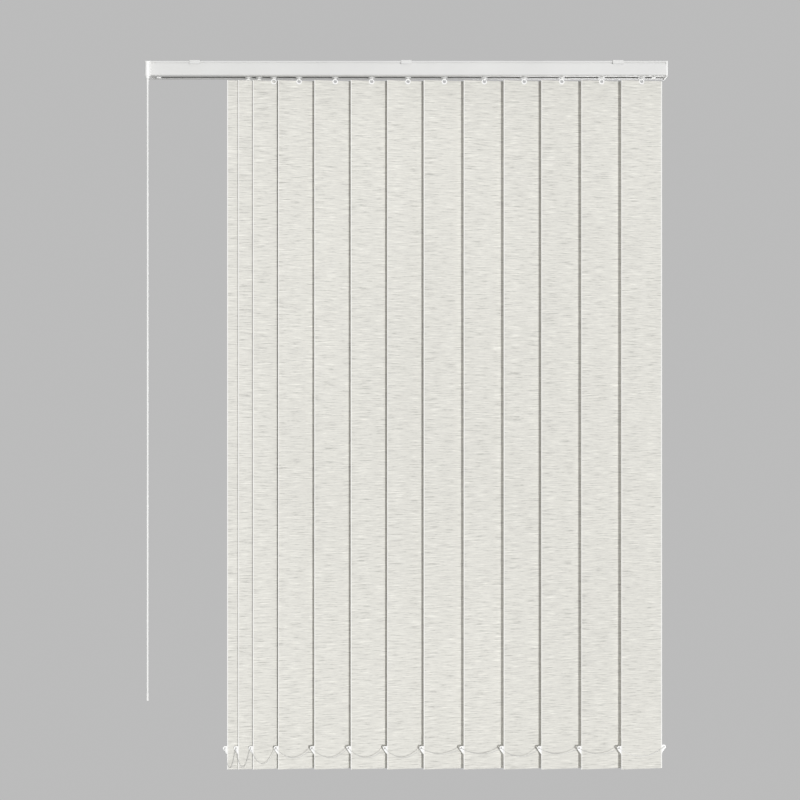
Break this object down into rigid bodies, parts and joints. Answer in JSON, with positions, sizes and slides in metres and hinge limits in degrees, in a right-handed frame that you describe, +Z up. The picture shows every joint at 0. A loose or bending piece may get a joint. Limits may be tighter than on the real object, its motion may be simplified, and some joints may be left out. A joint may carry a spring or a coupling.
{
  "type": "vertical blind",
  "caption": "Ceiling-fixed headrail whose wheeled carriers draw hanging fabric louvres sideways and turn them together by a wand.",
  "frame": {"origin": "centre of the middle bracket's fixing hole, on the bracket's fixing face", "axes": "+X along the rail to the end where the louvres stack, +Y towards the window, +Z up"},
  "size_m": [1.1005, 0.0558, 1.495],
  "materials": {
    "rail_paint": "white powder coat, satin",
    "bracket_paint": "white paint on spring steel, satin",
    "cap_plastic": "white moulded plastic, satin",
    "rod_metal": "mill finish",
    "wand_plastic": "white, low gloss",
    "chain_plastic": "white beads",
    "carrier_plastic": "white moulded plastic",
    "hook_plastic": "white moulded plastic",
    "louvre_fabric": "off-white slub weave",
    "weight_plastic": "white moulded plastic"
  },
  "bodies": {
    "rail": {"headrail": "rail_paint", "brackets": "bracket_paint", "control_cap": "cap_plastic", "end_cap": "cap_plastic", "carrier_13": "carrier_plastic"},
    "carrier_01": {"carrier_01": "carrier_plastic"},
    "carrier_02": {"carrier_02": "carrier_plastic"},
    "carrier_03": {"carrier_03": "carrier_plastic"},
    "carrier_04": {"carrier_04": "carrier_plastic"},
    "carrier_05": {"carrier_05": "carrier_plastic"},
    "carrier_06": {"carrier_06": "carrier_plastic"},
    "carrier_07": {"carrier_07": "carrier_plastic"},
    "carrier_08": {"carrier_08": "carrier_plastic"},
    "carrier_09": {"carrier_09": "carrier_plastic"},
    "carrier_10": {"carrier_10": "carrier_plastic"},
    "carrier_11": {"carrier_11": "carrier_plastic"},
    "carrier_12": {"carrier_12": "carrier_plastic"},
    "louvre_01": {"hanger_01": "hook_plastic", "louvre_01": "louvre_fabric", "weight_01": "weight_plastic"},
    "louvre_02": {"hanger_02": "hook_plastic", "louvre_02": "louvre_fabric", "weight_02": "weight_plastic"},
    "louvre_03": {"hanger_03": "hook_plastic", "louvre_03": "louvre_fabric", "weight_03": "weight_plastic"},
    "louvre_04": {"hanger_04": "hook_plastic", "louvre_04": "louvre_fabric", "weight_04": "weight_plastic"},
    "louvre_05": {"hanger_05": "hook_plastic", "louvre_05": "louvre_fabric", "weight_05": "weight_plastic"},
    "louvre_06": {"hanger_06": "hook_plastic", "louvre_06": "louvre_fabric", "weight_06": "weight_plastic"},
    "louvre_07": {"hanger_07": "hook_plastic", "louvre_07": "louvre_fabric", "weight_07": "weight_plastic"},
    "louvre_08": {"hanger_08": "hook_plastic", "louvre_08": "louvre_fabric", "weight_08": "weight_plastic"},
    "louvre_09": {"hanger_09": "hook_plastic", "louvre_09": "louvre_fabric", "weight_09": "weight_plastic"},
    "louvre_10": {"hanger_10": "hook_plastic", "louvre_10": "louvre_fabric", "weight_10": "weight_plastic"},
    "louvre_11": {"hanger_11": "hook_plastic", "louvre_11": "louvre_fabric", "weight_11": "weight_plastic"},
    "louvre_12": {"hanger_12": "hook_plastic", "louvre_12": "louvre_fabric", "weight_12": "weight_plastic"},
    "louvre_13": {"hanger_13": "hook_plastic", "louvre_13": "louvre_fabric", "weight_13": "weight_plastic"},
    "tilt_rod": {"tilt_rod": "rod_metal"},
    "wand": {"wand": "wand_plastic"},
    "front_chain": {"front_chain": "chain_plastic"},
    "rear_chain": {"rear_chain": "chain_plastic"}
  },
  "joints": [
    {"name": "carrier_12_slide", "type": "slide", "parent": "rail", "child": "carrier_12", "axis": [1, 0, 0], "range_m": [0, 0.0625], "deforming": ["front_chain", "rear_chain"]},
    {"name": "carrier_11_slide", "type": "slide", "parent": "carrier_12", "child": "carrier_11", "axis": [1, 0, 0], "range_m": [0, 0.0625]},
    {"name": "carrier_10_slide", "type": "slide", "parent": "carrier_11", "child": "carrier_10", "axis": [1, 0, 0], "range_m": [-0.005, 0.0575]},
    {"name": "carrier_09_slide", "type": "slide", "parent": "carrier_10", "child": "carrier_09", "axis": [1, 0, 0], "range_m": [0, 0.0625]},
    {"name": "carrier_08_slide", "type": "slide", "parent": "carrier_09", "child": "carrier_08", "axis": [1, 0, 0], "range_m": [0, 0.0625]},
    {"name": "carrier_07_slide", "type": "slide", "parent": "carrier_08", "child": "carrier_07", "axis": [1, 0, 0], "range_m": [-0.0075, 0.055]},
    {"name": "carrier_06_slide", "type": "slide", "parent": "carrier_07", "child": "carrier_06", "axis": [1, 0, 0], "range_m": [-0.0075, 0.055]},
    {"name": "carrier_05_slide", "type": "slide", "parent": "carrier_06", "child": "carrier_05", "axis": [1, 0, 0], "range_m": [-0.0075, 0.055]},
    {"name": "carrier_04_slide", "type": "slide", "parent": "carrier_05", "child": "carrier_04", "axis": [1, 0, 0], "range_m": [-0.008, 0.0545]},
    {"name": "carrier_03_slide", "type": "slide", "parent": "carrier_04", "child": "carrier_03", "axis": [1, 0, 0], "range_m": [-0.031, 0.0315]},
    {"name": "carrier_02_slide", "type": "slide", "parent": "carrier_03", "child": "carrier_02", "axis": [1, 0, 0], "range_m": [-0.0535, 0.009]},
    {"name": "carrier_01_slide", "type": "slide", "parent": "carrier_02", "child": "carrier_01", "axis": [1, 0, 0], "range_m": [-0.0435, 0.001]},
    {"name": "louvre_13_tilt", "type": "hinge", "parent": "rail", "child": "louvre_13", "pos_m": [0.498, 0, -0.0401], "axis": [0, 0, 1], "range_deg": [0, 163]},
    {"name": "louvre_12_tilt", "type": "hinge", "parent": "carrier_12", "child": "louvre_12", "pos_m": [0.4135, 0, -0.0401], "axis": [0, 0, 1], "range_deg": [0, 163]},
    {"name": "louvre_11_tilt", "type": "hinge", "parent": "carrier_11", "child": "louvre_11", "pos_m": [0.329, 0, -0.0401], "axis": [0, 0, 1], "range_deg": [0, 163]},
    {"name": "louvre_10_tilt", "type": "hinge", "parent": "carrier_10", "child": "louvre_10", "pos_m": [0.2495, 0, -0.0401], "axis": [0, 0, 1], "range_deg": [0, 163]},
    {"name": "louvre_09_tilt", "type": "hinge", "parent": "carrier_09", "child": "louvre_09", "pos_m": [0.165, 0, -0.0401], "axis": [0, 0, 1], "range_deg": [0, 163]},
    {"name": "louvre_08_tilt", "type": "hinge", "parent": "carrier_08", "child": "louvre_08", "pos_m": [0.0805, 0, -0.0401], "axis": [0, 0, 1], "range_deg": [0, 163]},
    {"name": "louvre_07_tilt", "type": "hinge", "parent": "carrier_07", "child": "louvre_07", "pos_m": [0.0035, 0, -0.0401], "axis": [0, 0, 1], "range_deg": [0, 163]},
    {"name": "louvre_06_tilt", "type": "hinge", "parent": "carrier_06", "child": "louvre_06", "pos_m": [-0.0735, 0, -0.0401], "axis": [0, 0, 1], "range_deg": [0, 163]},
    {"name": "louvre_05_tilt", "type": "hinge", "parent": "carrier_05", "child": "louvre_05", "pos_m": [-0.1505, 0, -0.0401], "axis": [0, 0, 1], "range_deg": [0, 163]},
    {"name": "louvre_04_tilt", "type": "hinge", "parent": "carrier_04", "child": "louvre_04", "pos_m": [-0.227, 0, -0.0401], "axis": [0, 0, 1], "range_deg": [0, 163]},
    {"name": "louvre_03_tilt", "type": "hinge", "parent": "carrier_03", "child": "louvre_03", "pos_m": [-0.2805, 0, -0.0401], "axis": [0, 0, 1], "range_deg": [0, 163]},
    {"name": "louvre_02_tilt", "type": "hinge", "parent": "carrier_02", "child": "louvre_02", "pos_m": [-0.3115, 0, -0.0401], "axis": [0, 0, 1], "range_deg": [0, 163]},
    {"name": "louvre_01_tilt", "type": "hinge", "parent": "carrier_01", "child": "louvre_01", "pos_m": [-0.3345, 0, -0.0401], "axis": [0, 0, 1], "range_deg": [0, 163]},
    {"name": "tilt_rod_turn", "type": "hinge", "parent": "rail", "child": "tilt_rod", "pos_m": [0, 0.0094, -0.0226], "axis": [1, 0, 0], "range_deg": [0, 1956]},
    {"name": "wand_turn", "type": "hinge", "parent": "rail", "child": "wand", "pos_m": [-0.54375, -0.026, -0.03], "axis": [0, 0, 1], "range_deg": [0, 1956]},
    {"name": "front_chain_carry", "type": "hinge", "parent": "louvre_13", "child": "front_chain", "pos_m": [0.44904, -0.00732, -1.44935], "axis": [0, 0, 1], "range_deg": [-163, 0]},
    {"name": "rear_chain_carry", "type": "hinge", "parent": "louvre_13", "child": "rear_chain", "pos_m": [0.54696, 0.00732, -1.44935], "axis": [0, 0, 1], "range_deg": [-163, 0]}
  ],
  "couplings": [
    {"joint": "louvre_12_tilt", "follows": "louvre_13_tilt", "ratio": 1},
    {"joint": "louvre_11_tilt", "follows": "louvre_13_tilt", "ratio": 1},
    {"joint": "louvre_10_tilt", "follows": "louvre_13_tilt", "ratio": 1},
    {"joint": "louvre_09_tilt", "follows": "louvre_13_tilt", "ratio": 1},
    {"joint": "louvre_08_tilt", "follows": "louvre_13_tilt", "ratio": 1},
    {"joint": "louvre_07_tilt", "follows": "louvre_13_tilt", "ratio": 1},
    {"joint": "louvre_06_tilt", "follows": "louvre_13_tilt", "ratio": 1},
    {"joint": "louvre_05_tilt", "follows": "louvre_13_tilt", "ratio": 1},
    {"joint": "louvre_04_tilt", "follows": "louvre_13_tilt", "ratio": 1},
    {"joint": "louvre_03_tilt", "follows": "louvre_13_tilt", "ratio": 1},
    {"joint": "louvre_02_tilt", "follows": "louvre_13_tilt", "ratio": 1},
    {"joint": "louvre_01_tilt", "follows": "louvre_13_tilt", "ratio": 1},
    {"joint": "tilt_rod_turn", "follows": "louvre_13_tilt", "ratio": 12},
    {"joint": "wand_turn", "follows": "louvre_13_tilt", "ratio": 12},
    {"joint": "front_chain_carry", "follows": "louvre_13_tilt", "ratio": -1},
    {"joint": "rear_chain_carry", "follows": "louvre_13_tilt", "ratio": -1}
  ]
}
